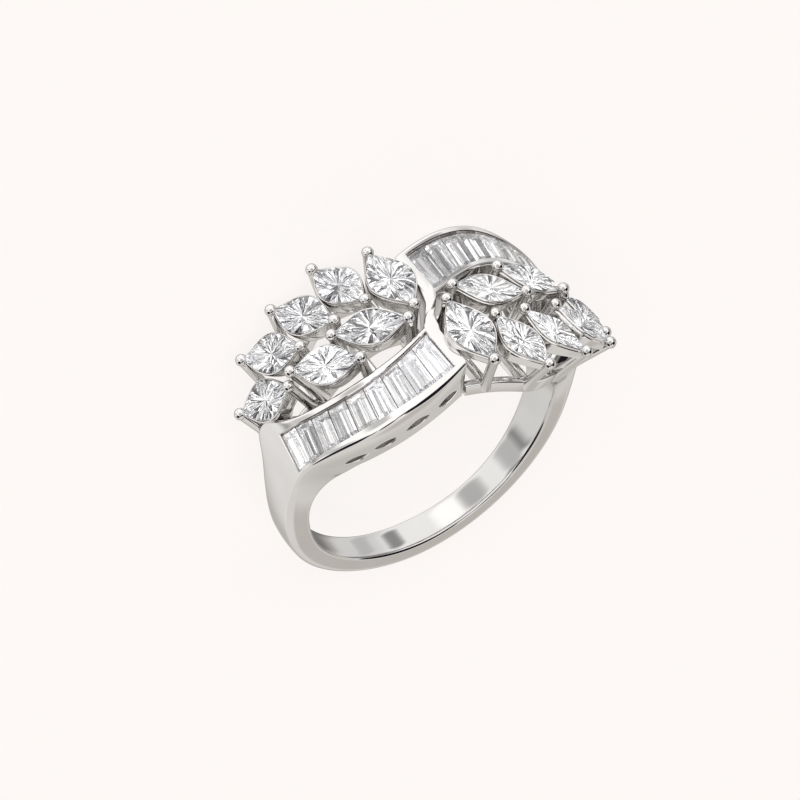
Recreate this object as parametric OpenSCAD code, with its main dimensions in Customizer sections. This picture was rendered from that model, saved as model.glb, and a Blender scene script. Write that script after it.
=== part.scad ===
// Bypass cocktail ring: two channels of baguettes and two sprays of marquises.
//
// The ring is worked out upright: X across the hand, Y along the finger, Z up through the head,
// with the finger's axis on Y. The ring is its own twin after half a turn about Z, so every
// part of the head is described once, for the half on the -X side, and drawn twice.
// A place on that half is given by three numbers:
//   angle   degrees up from the -X side, -90 at the bottom of the shank and 90 at the top
//   height  millimetres above the wall of the finger hole
//   along   millimetres along the finger, negative to the front
// At the end the whole ring is laid on its side, as it lies by itself.

/* [Finger hole and shank] */
// Diameter of the finger hole
finger_d = 17; // [16.7:0.1:17.3]
// Largest radius on the shank's outer edges
shank_edge = 0.45; // [0.3:0.05:0.5]
// How far the shank's outside is domed between its edges
shank_crown = 0.08; // [0:0.02:0.12]

/* [Baguette channels] */
// Number of baguettes in each channel
baguettes = 9; // [9:1:9]
// Radius on the edges of the channel's rims
rim_edge = 0.18; // [0.12:0.02:0.24]
// Depth of a baguette's table below the rims
table_drop = 0.04; // [0.02:0.01:0.1]
// Height of a baguette above its girdle
crown_h = 0.34; // [0.28:0.02:0.4]
// Depth of a baguette below its girdle
pavilion_h = 1.1; // [0.9:0.05:1.15]
// Diameter of the hole in the floor under each baguette
azure_d = 0.95; // [0.7:0.05:1]
// Length of a leaf-shaped piercing in the side wall
leaf_l = 1.55; // [1.3:0.05:1.7]
// Width of a leaf-shaped piercing
leaf_w = 0.52; // [0.4:0.02:0.56]

/* [Marquise sprays] */
// Diameter of the round head of a claw
claw_head = 0.74; // [0.7:0.02:0.78]
// Diameter of a claw below its head
claw_d = 0.58; // [0.5:0.02:0.6]
// Depth of the collet under a marquise
collet_h = 0.9; // [0.8:0.05:1]
// Metal that shows round a marquise's girdle
collet_rim = 0.1; // [0.08:0.01:0.14]
// Thickness of a collet's wall
collet_wall = 0.32; // [0.26:0.02:0.36]
// Width of the gallery's rails
rail_w = 0.55; // [0.5:0.05:0.65]
// Height of the gallery's rails
rail_h = 0.85; // [0.75:0.05:0.95]

/* [Stones] */
// Gap between a stone and the metal
seat_gap = 0.03; // [0.02:0.01:0.04]
// Thickness of a girdle
girdle_h = 0.06; // [0.04:0.01:0.08]

/* [Resting pose] */
// Tip of the finger's axis towards the front as the ring lies
rest_tip = 13.98; // [13.5:0.01:14.5]
// Lean of the finger's axis to one side as the ring lies
rest_lean = 6.33; // [5.8:0.01:6.8]

/* [Hidden] */
finger_r = finger_d / 2;
// Radius at which solids stop inside the finger hole before the hole is cut
inner_r = finger_r - 0.5;
eps = 0.01;
$fn = 32;

// Columns of the ribbon's table
ANGLE = 0;
HEIGHT = 1;
FRONT = 2;
FRONT_FOOT = 3;
BACK = 4;
BACK_FOOT = 5;
// The ribbon of metal from the bottom of the shank up over the shoulder to the arm's end:
// the outside's height, then where its front and back edges and their feet at the finger are
RIBBON = [
  // angle, height, front, front foot, back, back foot
  [-90, 1.35, -1.08, -1.04, 1.08, 1.04],
  [-50, 1.35, -1.10, -1.06, 1.08, 1.04],
  [-15, 1.45, -1.46, -1.42, 1.22, 1.18],
  [  0, 1.55, -1.58, -1.50, 1.40, 1.40],
  [ 10, 1.80, -1.80, -1.70, 1.55, 1.72],
  [ 20, 2.35, -2.20, -2.10, 1.75, 2.15],
  [ 28, 3.05, -2.70, -2.60, 1.95, 2.45],
  [ 33, 3.50, -3.15, -3.00, 1.30, 1.90],
  [ 38, 3.70, -3.70, -3.35, 0.15, 0.70],
  [ 44, 3.79, -4.35, -3.80, -0.75, -0.30],
  [ 51, 3.83, -5.05, -4.22, -1.35, -1.15],
  [ 58, 3.83, -5.50, -4.52, -1.72, -1.75],
  [ 66, 3.70, -5.62, -4.66, -1.84, -2.05],
  [ 75, 3.43, -5.42, -4.60, -1.58, -1.95],
  [ 82, 3.30, -5.02, -4.40, -1.15, -1.60],
  [ 88, 3.28, -4.55, -4.15, -0.75, -1.15],
];
ribbon_top = 88;
// Degrees between the ribbon's sections on the shank and on the head
shank_step = 6;
head_step = 3;
// Where the shank's soft edges have become the arm's crisp rims
edge_change = [10, 38];

// The channel's two long edges
CHANNEL_FRONT = 1;
CHANNEL_BACK = 2;
CHANNEL = [
  // angle, front edge, back edge
  [30, -2.56, 0.18],
  [35, -3.02, -0.30],
  [41, -3.54, -0.96],
  [48, -4.10, -1.64],
  [55, -4.57, -2.13],
  [62, -4.86, -2.36],
  [69, -4.91, -2.27],
  [77, -4.70, -1.86],
  [85, -4.30, -1.25],
];
// Angle at the channel's front and back edge, from its shoulder end to its centre end: the
// dividers between stones lean at the shoulder and widen towards the centre
function front_angle(s) = 30.7 + 45 * s + 9 * s * s;
function back_angle(s) = 33.9 + 45 * s + 5.6 * s * s;

// The bar that runs from an arm's end to a point just past the middle of the head
BAR_X = 0;
BAR_Y = 1;
BAR_HEADING = 2;
BAR_W = 3;
BAR_H = 4;
END_BAR = [
  // across, along, heading, width, height
  [-0.78, -2.30, 86, 0.60, 3.22],
  [-0.72, -1.50, 78, 0.86, 3.25],
  [-0.52, -0.92, 60, 0.84, 3.28],
  [-0.22, -0.40, 54, 0.56, 3.28],
  [ 0.08, -0.08, 48, 0.34, 3.22],
  [ 0.36,  0.16, 42, 0.12, 3.10],
];

// Angle and height of the four leaf-shaped piercings in an arm's side wall, and their slope
LEAVES = [
  // angle, height, slope
  [42.5, 1.26, 2],
  [54.5, 1.34, 4],
  [66.8, 1.30, 6],
  [80.0, 1.15, 8],
];

// The marquises of one spray, each given by its two tips
OUTER = 0;
INNER = 1;
STONE_W = 2;
SPRAY = [
  // outer tip (angle, height, along), inner tip (angle, height, along), width
  [[85.5, 3.60, 5.15], [85.8, 3.92,  0.42], 2.70],
  [[70.5, 3.32, 6.35], [76.0, 3.78,  2.42], 2.45],
  [[54.8, 3.65, 5.75], [65.9, 3.82,  2.42], 2.40],
  [[40.5, 4.10, 4.65], [54.6, 4.12,  2.32], 2.35],
  [[30.2, 4.10, 2.55], [45.5, 4.12,  0.98], 2.40],
  [[63.7, 4.26, 1.28], [81.4, 4.05, -0.40], 2.35],
  [[49.9, 4.62, 1.12], [64.9, 4.22, -0.98], 2.35],
];
// Where the claw at each tip stands
OUTER_FOOT = 0;
INNER_FOOT = 1;
CLAW_FEET = [
  // foot under the outer tip, foot under the inner tip (angle, height, along)
  [[83.2, 0.4, 4.40], [86.5, 0.5,  0.90]],
  [[66.5, 0.4, 5.02], [74.0, 0.5,  1.55]],
  [[44.5, 0.4, 3.90], [62.0, 0.5,  1.40]],
  [[32.0, 0.6, 2.75], [50.0, 0.5,  1.45]],
  [[26.0, 2.2, 1.75], [41.0, 0.5,  1.10]],
  [[60.0, 0.5, 1.15], [80.0, 0.5, -0.80]],
  [[46.5, 0.5, 1.15], [62.0, 0.5, -1.20]],
];
// How far a claw's axis stands outside the stone's tip
claw_out = 0.12;

// The gallery's two rails at the finger hole, from the shoulder to the other arm's end
OUTER_RAIL = [
  // angle, along
  [18, 1.85], [26, 2.50], [35, 3.20], [44, 3.82], [52, 4.45], [59, 4.88],
  [66, 5.02], [72, 4.85], [78, 4.60], [84, 4.34], [91, 4.05],
];
INNER_RAIL = [
  // angle, along
  [28, 1.40], [36, 1.30], [44, 1.25], [53, 1.35], [62, 1.40], [71, 1.50], [80, 1.25], [89, 0.80],
];
// Angles of the bars across the gallery
CROSS_BARS = [44.5, 66.5, 83.2];

// A baguette's steps from its table to its keel
BAGUETTE_STEPS = [
  // fraction of its height above (+) or below (-) the girdle, inset of its ends, of its sides
  [ 1.00, 0.32, 0.27],
  [ 0.50, 0.12, 0.11],
  [ 0.00, 0.00, 0.00],
  [-0.05, 0.00, 0.00],
  [-0.40, 0.15, 0.14],
  [-0.75, 0.40, 0.34],
  [-1.00, 0.75, 0.50],
];
// Depth of the channel's seat and inset of its well
seat_drop = 0.95;
well_inset = 0.2;
// Fraction of the channel's way left solid at each of its well's ends
well_ends = 0.015;
// Metal left under the channel, above the finger hole
floor_h = 0.72;

// Sizes of a marquise as fractions of its own length and width
table_frac = 0.56;
star_frac = 0.76;
marquise_crown = 0.155;
marquise_pavilion = 0.43;
lower_frac = 0.22;

function mix(a, b, t) = a + (b - a) * t;
function clamp01(t) = min(1, max(0, t));
function unit(v) = v / norm(v);

// A point on the ring from its angle, height and place along the finger
function on_ring(angle, height, along) =
  let (r = finger_r + height) [-r * cos(angle), along, r * sin(angle)];
function tip_point(p) = on_ring(p[0], p[1], p[2]);

// Smooth curve through one column of a table whose first column rises
function last_row(table, a) = max([for (i = [0 : len(table) - 2]) if (i == 0 || table[i][0] <= a) i]);
function secant(table, i, j, col) = (table[j][col] - table[i][col]) / (table[j][0] - table[i][0]);
function slope_at(table, i, col) = secant(table, max(0, i - 1), min(len(table) - 1, i + 1), col);
function curve(table, a, col) =
  let (
    i = last_row(table, a),
    span = table[i + 1][0] - table[i][0],
    u = clamp01((a - table[i][0]) / span),
    m0 = slope_at(table, i, col) * span,
    m1 = slope_at(table, i + 1, col) * span
  )
  (2 * u * u * u - 3 * u * u + 1) * table[i][col] + (u * u * u - 2 * u * u + u) * m0
  + (3 * u * u - 2 * u * u * u) * table[i + 1][col] + (u * u * u - u * u) * m1;

// Faces of a closed loft through rings of the same number of points
function loft_faces(rings, n) = concat(
  [[for (j = [n - 1 : -1 : 0]) j]],
  [for (i = [0 : rings - 2]) for (j = [0 : n - 1]) let (k = (j + 1) % n)
    [i * n + j, i * n + k, (i + 1) * n + k]],
  [for (i = [0 : rings - 2]) for (j = [0 : n - 1]) let (k = (j + 1) % n)
    [i * n + j, (i + 1) * n + k, (i + 1) * n + j]],
  [[for (j = [0 : n - 1]) (rings - 1) * n + j]]
);
module loft(rings) {
  n = len(rings[0]);
  polyhedron([for (ring = rings) each ring], loft_faces(len(rings), n), convexity = 10);
}

module twins() {
  for (turn = [0, 180]) rotate([0, 0, turn]) children();
}
module lie_down() {
  rotate([0, -rest_lean, 0]) rotate([-rest_tip, 0, 0]) rotate([90, 180, 0]) children();
}

// One section across the ribbon, from the front foot over the outside to the back foot
function edge_radius(angle) =
  let (t = clamp01((angle - edge_change[0]) / (edge_change[1] - edge_change[0])))
  mix(shank_edge, rim_edge, t);
function crown_at(angle) = shank_crown * (1 - clamp01((angle - edge_change[0]) / 15));
function side_along(top, foot, h, height) = mix(foot, top, h / height);
function ribbon_profile(angle) =
  let (
    h = curve(RIBBON, angle, HEIGHT),
    front = curve(RIBBON, angle, FRONT),
    front_foot = curve(RIBBON, angle, FRONT_FOOT),
    back = curve(RIBBON, angle, BACK),
    back_foot = curve(RIBBON, angle, BACK_FOOT),
    e = edge_radius(angle),
    soft = 0.3 * e,
    low = inner_r - finger_r
  ) [
    [side_along(front, front_foot, low, h), low],
    [side_along(front, front_foot, h - e, h), h - e],
    [front + soft, h - soft],
    [front + e, h],
    [mix(front, back, 0.5), h + crown_at(angle)],
    [back - e, h],
    [back - soft, h - soft],
    [side_along(back, back_foot, h - e, h), h - e],
    [side_along(back, back_foot, low, h), low],
  ];
function ribbon_section(angle) = [for (p = ribbon_profile(angle)) on_ring(angle, p[1], p[0])];
// The other half's section is this half's after half a turn, in the same order round the loft
function twin_section(angle) = [for (v = ribbon_section(angle)) [-v[0], -v[1], v[2]]];
function reversed(list) = [for (i = [len(list) - 1 : -1 : 0]) list[i]];
function ribbon_angles() = concat(
  [for (a = [-90 : shank_step : 6]) a],
  [for (a = [10 : head_step : ribbon_top]) a]
);
module ribbon() {
  angles = ribbon_angles();
  half = [for (a = angles) ribbon_section(a)];
  other = [for (i = [len(angles) - 1 : -1 : 1]) reversed(twin_section(angles[i]))];
  loft(concat(other, half));
}

// Sweep of an upright four-sided bar through a rail's points
function rail_ring(table, i, w, h) =
  let (a = table[i][0], y = table[i][1], low = inner_r - finger_r)
  [
    on_ring(a, low, y - w / 2), on_ring(a, h, y - w / 2),
    on_ring(a, h, y + w / 2), on_ring(a, low, y + w / 2),
  ];
module rail(table) {
  loft([for (i = [0 : len(table) - 1]) rail_ring(table, i, rail_w, rail_h)]);
}

// A straight piece in the ring's own directions at an angle: X towards the top of the head, Z out
module at_place(angle, height, along) {
  rotate([0, angle - 90, 0]) translate([0, along, finger_r + height]) children();
}

module gallery() {
  rail(OUTER_RAIL);
  rail(INNER_RAIL);
  for (angle = CROSS_BARS) {
    from = curve(RIBBON, angle, BACK_FOOT) - 0.4;
    to = curve(OUTER_RAIL, angle, 1);
    at_place(angle, 0, from)
      translate([-rail_w / 2, 0, -0.3]) cube([rail_w, to - from, rail_h + 0.24]);
  }
}

// The bar between a channel's end and the middle of the head
function bar_ring(row) =
  let (
    side = [-sin(row[BAR_HEADING]), cos(row[BAR_HEADING])],
    half = row[BAR_W] / 2,
    e = min(rim_edge, half * 0.5),
    top = finger_r + row[BAR_H],
    spots = [
      [-half * 0.7, inner_r], [-half, top - 1.2], [-half, top - e], [e - half, top],
      [half - e, top], [half, top - e], [half, top - 1.2], [half * 0.7, inner_r],
    ]
  )
  [for (s = spots) [row[BAR_X] + side[0] * s[0], row[BAR_Y] + side[1] * s[0], s[1]]];
module end_bar() {
  loft([for (row = END_BAR) bar_ring(row)]);
}

// The channel's front and back corner at a fraction of its way, moved in from its edges
function channel_corners(s, inset, drop) =
  let (
    fa = front_angle(s), ba = back_angle(s),
    fh = curve(RIBBON, fa, HEIGHT), bh = curve(RIBBON, ba, HEIGHT)
  )
  [
    on_ring(fa, fh - drop, curve(CHANNEL, fa, CHANNEL_FRONT) + inset),
    on_ring(ba, bh - drop, curve(CHANNEL, ba, CHANNEL_BACK) - inset),
  ];
channel_steps = 18;
// The trough's section, from its seat to above the rims
function channel_ring(s) =
  let (low = channel_corners(s, 0, seat_drop), high = channel_corners(s, 0, -1))
  [low[0], high[0], high[1], low[1]];
module channel_cut() {
  loft([for (i = [0 : channel_steps]) channel_ring(i / channel_steps)]);
}
// The well under the stones, down to a floor of even height above the finger hole
function well_ring(s) =
  let (
    top = channel_corners(s, well_inset, seat_drop - 0.1),
    fa = front_angle(s), ba = back_angle(s),
    front = curve(CHANNEL, fa, CHANNEL_FRONT) + well_inset,
    back = curve(CHANNEL, ba, CHANNEL_BACK) - well_inset
  )
  [on_ring(fa, floor_h, front + 0.25), top[0], top[1], on_ring(ba, floor_h, back - 0.1)];
module well() {
  loft([
    for (i = [0 : channel_steps]) well_ring(mix(well_ends, 1 - well_ends, i / channel_steps))
  ]);
}
module azure_holes() {
  for (k = [0 : baguettes - 1]) {
    s = (k + 0.5) / baguettes;
    angle = mix(front_angle(s), back_angle(s), 0.5);
    along = mix(curve(CHANNEL, angle, CHANNEL_FRONT), curve(CHANNEL, angle, CHANNEL_BACK), 0.5);
    at_place(angle, -0.6, along) cylinder(d = azure_d, h = floor_h + 0.9);
  }
}

// Two arcs that meet in points
module marquise_outline(l, w) {
  r = (l * l / 4 + w * w / 4) / w;
  intersection() {
    translate([0, r - w / 2]) circle(r, $fn = 96);
    translate([0, w / 2 - r]) circle(r, $fn = 96);
  }
}
module leaves() {
  for (leaf = LEAVES) {
    outside = curve(RIBBON, leaf[0], FRONT) - 0.4;
    at_place(leaf[0], leaf[1], outside)
      rotate([-90, 0, 0]) rotate([0, 0, leaf[2]])
        linear_extrude(1.55) marquise_outline(leaf_l, leaf_w);
  }
}

// A marquise's own directions: X from its outer tip to its inner tip, Z out of the table
function stone_frame(row) =
  let (
    a = tip_point(row[OUTER]), b = tip_point(row[INNER]),
    c = (a + b) / 2,
    x = unit(b - a),
    y = unit(cross([c[0], 0, c[2]], x)),
    z = cross(x, y)
  )
  [[x[0], y[0], z[0], c[0]], [x[1], y[1], z[1], c[1]], [x[2], y[2], z[2], c[2]], [0, 0, 0, 1]];
function stone_length(row) = norm(tip_point(row[INNER]) - tip_point(row[OUTER]));
module at_stone(row) {
  multmatrix(stone_frame(row)) children();
}

// A point on the marquise's outline, at one of 16 places round it, shrunk by a fraction
function half_width(x, l, w) =
  let (r = (l * l / 4 + w * w / 4) / w) sqrt(max(0, r * r - x * x)) - (r - w / 2);
function outline_point(i, l, w, frac, z) =
  let (t = 22.5 * i, x = l / 2 * cos(t), side = sin(t) >= 0 ? 1 : -1)
  [frac * x, frac * side * (abs(sin(t)) < 0.001 ? 0 : half_width(x, l, w)), z];

// Marquise brilliant: table, star, kite and girdle facets above, girdle and main facets below
module marquise_cut(l, w) {
  crown = marquise_crown * w;
  pavilion = marquise_pavilion * w;
  n = 16;
  table = [for (k = [0 : 7]) outline_point(2 * k, l, w, table_frac, crown)];
  star = [for (k = [0 : 7]) outline_point(2 * k + 1, l, w, star_frac, crown * 0.6)];
  upper = [for (i = [0 : 15]) outline_point(i, l, w, 1, 0)];
  lower = [for (i = [0 : 15]) outline_point(i, l, w, 1, -girdle_h)];
  main = [for (k = [0 : 7]) outline_point(2 * k + 1, l, w, lower_frac, -girdle_h - pavilion * 0.8)];
  culet = [[0, 0, -girdle_h - pavilion]];
  // First point of each ring
  T = 0; S = 8; U = 16; L = 32; M = 48; C = 56;
  polyhedron(
    concat(table, star, upper, lower, main, culet),
    concat(
      [[for (k = [7 : -1 : 0]) T + k]],
      [for (k = [0 : 7]) [T + k, T + (k + 1) % 8, S + k]],
      [for (k = [0 : 7]) [T + k, S + k, U + 2 * k]],
      [for (k = [0 : 7]) [T + (k + 1) % 8, U + (2 * k + 2) % n, S + k]],
      [for (k = [0 : 7]) [S + k, U + 2 * k + 1, U + 2 * k]],
      [for (k = [0 : 7]) [S + k, U + (2 * k + 2) % n, U + 2 * k + 1]],
      [for (i = [0 : 15]) [U + i, U + (i + 1) % n, L + (i + 1) % n]],
      [for (i = [0 : 15]) [U + i, L + (i + 1) % n, L + i]],
      [for (k = [0 : 7]) [L + 2 * k, L + 2 * k + 1, M + k]],
      [for (k = [0 : 7]) [L + 2 * k + 1, L + (2 * k + 2) % n, M + k]],
      [for (k = [0 : 7]) [L + (2 * k + 2) % n, M + (k + 1) % 8, C]],
      [for (k = [0 : 7]) [L + (2 * k + 2) % n, C, M + k]]
    )
  );
}

// A baguette between two of the channel's dividers
function corner_at(s, side, ends_in, drop) =
  let (
    c = channel_corners(s, 0, drop),
    inward = unit(c[1 - side] - c[side])
  )
  c[side] + inward * ends_in;
function baguette_ring(s0, s1, ends_in, sides_in, drop) =
  let (
    // Corners in order: front low, front high, back high, back low
    p = [
      corner_at(s0, 0, ends_in, drop), corner_at(s1, 0, ends_in, drop),
      corner_at(s1, 1, ends_in, drop), corner_at(s0, 1, ends_in, drop),
    ],
    front = unit(p[1] - p[0]) * sides_in,
    back = unit(p[2] - p[3]) * sides_in
  )
  [p[0] + front, p[1] - front, p[2] - back, p[3] + back];
module baguette_cut(k) {
  s0 = k / baguettes;
  s1 = (k + 1) / baguettes;
  loft([
    for (step = BAGUETTE_STEPS)
      let (
        rise = step[0] > 0 ? crown_h * step[0] : pavilion_h * step[0],
        drop = table_drop + crown_h - rise
      )
      baguette_ring(s0, s1, step[1] + seat_gap, step[2] + seat_gap, drop)
  ]);
}

module claw(row, end, foot) {
  frame = stone_frame(row);
  out = (end == OUTER ? -1 : 1) * claw_out;
  head = tip_point(row[end]) + [frame[0][0], frame[1][0], frame[2][0]] * out;
  base = tip_point(foot);
  run = head - base;
  translate(head) sphere(d = claw_head);
  translate(base)
    rotate([0, acos(run[2] / norm(run)), atan2(run[1], run[0])]) cylinder(d = claw_d, h = norm(run));
}
module claws() {
  for (k = [0 : len(SPRAY) - 1]) {
    claw(SPRAY[k], OUTER, CLAW_FEET[k][OUTER_FOOT]);
    claw(SPRAY[k], INNER, CLAW_FEET[k][INNER_FOOT]);
  }
}
module collets() {
  for (row = SPRAY) {
    l = stone_length(row);
    w = row[STONE_W];
    at_stone(row) translate([0, 0, -collet_h - girdle_h]) difference() {
      linear_extrude(collet_h) marquise_outline(l + 2.4 * collet_rim, w + 2 * collet_rim);
      translate([0, 0, -eps]) linear_extrude(collet_h + 2 * eps)
        marquise_outline(l - 3.2 * collet_wall, w - 2 * collet_wall + 2 * collet_rim);
    }
  }
}
// Room for each stone in the metal round it
module marquise_seats() {
  for (row = SPRAY)
    at_stone(row) marquise_cut(stone_length(row) + 4 * seat_gap, row[STONE_W] + 2 * seat_gap);
}

module ring_mount() {
  color("gainsboro") lie_down() difference() {
    union() {
      ribbon();
      twins() {
        end_bar();
        gallery();
        collets();
        claws();
      }
    }
    rotate([90, 0, 0]) cylinder(r = finger_r, h = 20, center = true, $fn = 128);
    twins() {
      channel_cut();
      well();
      azure_holes();
      leaves();
      marquise_seats();
    }
  }
}
// Stones 1 to 9 are in the front channel from the shoulder up, 10 to 18 in the back one
module baguette(k) {
  turn = k > baguettes ? 180 : 0;
  color("aliceblue") lie_down() rotate([0, 0, turn]) baguette_cut((k - 1) % baguettes);
}
// Stones 1 to 7 are in the back spray, 8 to 14 in the front one
module marquise(k) {
  turn = k > len(SPRAY) ? 180 : 0;
  row = SPRAY[(k - 1) % len(SPRAY)];
  color("azure") lie_down() rotate([0, 0, turn]) at_stone(row)
    marquise_cut(stone_length(row), row[STONE_W]);
}

ring_mount();
for (k = [1 : 2 * baguettes])
  baguette(k);
for (k = [1 : 2 * len(SPRAY)])
  marquise(k);
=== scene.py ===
import bmesh
import bpy
import math
import numpy as np
from mathutils import Matrix, Vector


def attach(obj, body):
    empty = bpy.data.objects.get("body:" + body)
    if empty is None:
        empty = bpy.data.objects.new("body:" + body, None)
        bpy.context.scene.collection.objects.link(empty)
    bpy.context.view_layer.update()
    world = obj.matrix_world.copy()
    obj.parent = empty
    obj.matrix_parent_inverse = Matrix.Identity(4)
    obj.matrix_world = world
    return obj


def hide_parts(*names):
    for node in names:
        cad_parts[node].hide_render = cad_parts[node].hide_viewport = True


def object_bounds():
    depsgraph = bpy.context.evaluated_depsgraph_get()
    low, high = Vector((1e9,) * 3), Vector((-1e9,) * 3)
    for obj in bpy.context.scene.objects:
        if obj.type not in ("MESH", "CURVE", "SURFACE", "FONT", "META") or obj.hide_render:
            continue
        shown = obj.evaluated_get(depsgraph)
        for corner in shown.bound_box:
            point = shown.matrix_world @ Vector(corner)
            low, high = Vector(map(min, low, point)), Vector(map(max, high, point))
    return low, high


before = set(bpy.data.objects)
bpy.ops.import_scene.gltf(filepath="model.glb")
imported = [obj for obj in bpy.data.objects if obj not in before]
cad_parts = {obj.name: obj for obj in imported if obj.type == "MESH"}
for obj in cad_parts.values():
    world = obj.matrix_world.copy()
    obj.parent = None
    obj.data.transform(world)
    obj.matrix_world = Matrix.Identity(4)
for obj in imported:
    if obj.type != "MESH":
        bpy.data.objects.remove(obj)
cad_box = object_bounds()

# Sizes in millimetres, worked out on the upright ring: X across the hand, Y along the finger,
# Z up through the head. The ring is its own twin after half a turn about Z. Angles are degrees
# up from the -X side, and heights are above the finger hole.
MM = 0.001
FINGER_R = 8.5
BAGUETTES = 9

# Rounding of the metal's edges, the chamfer of the channel and the dome of the shank's outside
SHANK_EDGE = 0.56
RIM_EDGE = 0.38
BACK_RIM_EDGE = 0.3
NECK_EDGE = 0.12
RAIL_EDGE = 0.14
HOLE_EDGE = 0.22
WALL_FOOT_EDGE = 0.07
BEVEL = 0.04
SHANK_CROWN = 0.045

# The ledge and floor of the channel's well, and the openings cut into an arm
SEAT_DROP = 0.95
WELL_INSET = 0.2
FLOOR_H = 0.72
AZURE_D = 0.95
LEAF_L = 1.55
LEAF_W = 0.84

# Rails, claws and the stones' girdles
RAIL_W = 0.55
RAIL_H = 0.85
CLAW_D = 0.6
CLAW_HEAD_D = 0.734
CLAW_OUT = 0.12
GIRDLE_H = 0.06

# The ribbon of metal from the bottom of the shank up over the shoulder to the arm's end
RIBBON = np.array([
    # angle, height, front, front foot, back, back foot
    [-130, 1.35, -1.08, -1.04, 1.10, 1.06],
    [-90, 1.35, -1.08, -1.04, 1.08, 1.04],
    [-50, 1.35, -1.10, -1.06, 1.08, 1.04],
    [-15, 1.45, -1.46, -1.42, 1.22, 1.18],
    [0, 1.55, -1.58, -1.50, 1.40, 1.40],
    [10, 1.80, -1.80, -1.70, 1.55, 1.72],
    [20, 2.35, -2.20, -2.10, 1.75, 2.15],
    [28, 3.05, -2.70, -2.60, 1.95, 2.45],
    [33, 3.50, -3.15, -3.00, 1.30, 1.90],
    [38, 3.70, -3.70, -3.35, 0.15, 0.70],
    [44, 3.79, -4.35, -3.80, -0.75, -0.30],
    [51, 3.83, -5.05, -4.22, -1.35, -1.15],
    [58, 3.83, -5.49, -4.52, -1.72, -1.75],
    [66, 3.70, -5.60, -4.66, -1.84, -2.05],
    [75, 3.43, -5.42, -4.60, -1.58, -1.95],
    [82, 3.30, -5.02, -4.40, -1.15, -1.60],
    [88, 3.28, -4.55, -4.15, -0.75, -1.15],
])
SHANK_BOTTOM = -90
RIBBON_TOP = 88
# The channel's two long edges, carried on down the shoulder where there is no channel yet
CHANNEL = np.array([
    # angle, front edge, back edge
    [-130, -0.42, 0.42],
    [-90, -0.42, 0.42],
    [-50, -0.45, 0.42],
    [-15, -0.82, 0.58],
    [0, -1.00, 0.76],
    [10, -1.28, 0.85],
    [20, -1.80, 0.90],
    [26, -2.22, 0.58],
    [30, -2.56, 0.18],
    [35, -3.02, -0.30],
    [41, -3.54, -0.96],
    [48, -4.10, -1.64],
    [55, -4.57, -2.13],
    [62, -4.86, -2.36],
    [69, -4.91, -2.27],
    [77, -4.70, -1.86],
    [85, -4.30, -1.25],
    [90, -3.98, -0.80],
])
# The bar from an arm's end to a point just past the middle of the head
END_BAR = np.array([
    # across, along, heading, width, height
    [-0.78, -2.30, 86, 0.60, 3.22],
    [-0.72, -1.50, 78, 0.86, 3.25],
    [-0.52, -0.92, 60, 0.84, 3.28],
    [-0.22, -0.40, 54, 0.56, 3.28],
    [0.08, -0.08, 48, 0.34, 3.22],
    [0.36, 0.16, 42, 0.12, 3.10],
])
# Angle, height and slope of the leaf-shaped piercings in an arm's side wall
LEAVES = [(43.4, 1.26, 2), (54.6, 1.34, 4), (67.1, 1.30, 6), (80.3, 1.15, 8)]
# The marquises of one spray: outer tip and inner tip (angle, height, along), width
SPRAY = [
    ((85.5, 3.60, 5.15), (85.8, 3.92, 0.42), 2.70),
    ((70.5, 3.32, 6.35), (76.0, 3.78, 2.42), 2.45),
    ((54.8, 3.65, 5.75), (65.9, 3.82, 2.42), 2.40),
    ((40.5, 4.10, 4.65), (54.6, 4.12, 2.32), 2.35),
    ((30.2, 4.10, 2.55), (45.5, 4.12, 0.98), 2.40),
    ((63.7, 4.26, 1.28), (81.4, 4.05, -0.40), 2.35),
    ((49.9, 4.62, 1.12), (64.9, 4.22, -0.98), 2.35),
]
# Foot of the claw under each marquise's outer and inner tip (angle, height, along)
CLAW_FEET = [
    ((83.2, 0.4, 4.40), (86.5, 0.5, 0.90)),
    ((66.5, 0.4, 5.02), (74.0, 0.5, 1.55)),
    ((44.5, 0.4, 3.90), (62.0, 0.5, 1.40)),
    ((32.0, 0.6, 2.75), (50.0, 0.5, 1.45)),
    ((26.0, 2.2, 1.75), (41.0, 0.5, 1.10)),
    ((60.0, 0.5, 1.15), (80.0, 0.5, -0.80)),
    ((46.5, 0.5, 1.15), (62.0, 0.5, -1.20)),
]
# The gallery's rails at the finger hole (angle, along) and the angles of the bars across it
OUTER_RAIL = np.array([
    [18, 1.85], [26, 2.50], [35, 3.20], [44, 3.82], [52, 4.45], [59, 4.88],
    [66, 5.02], [72, 4.85], [78, 4.60], [84, 4.34], [91, 4.05],
])
INNER_RAIL = np.array([
    [28, 1.40], [36, 1.30], [44, 1.25], [53, 1.35], [62, 1.40], [71, 1.50], [80, 1.25], [89, 0.80],
])
CROSS_BARS = [44.5, 66.5, 83.2]

# How the ring lies: turned onto its back, then tipped onto its claws
LYING = (
    Matrix.Rotation(math.radians(-6.33), 3, "Y")
    @ Matrix.Rotation(math.radians(-13.98), 3, "X")
    @ Matrix(((-1, 0, 0), (0, 0, -1), (0, -1, 0)))
)
UPRIGHT = LYING.inverted()

# Edges that turn by more than this many degrees stay sharp, and nearer points become one
SHARP = 30
MERGE = 0.0005


def laid(point):
    """A point of the upright ring, in millimetres, where it lies in the frame, in metres."""
    return LYING @ Vector(point) * MM


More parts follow.
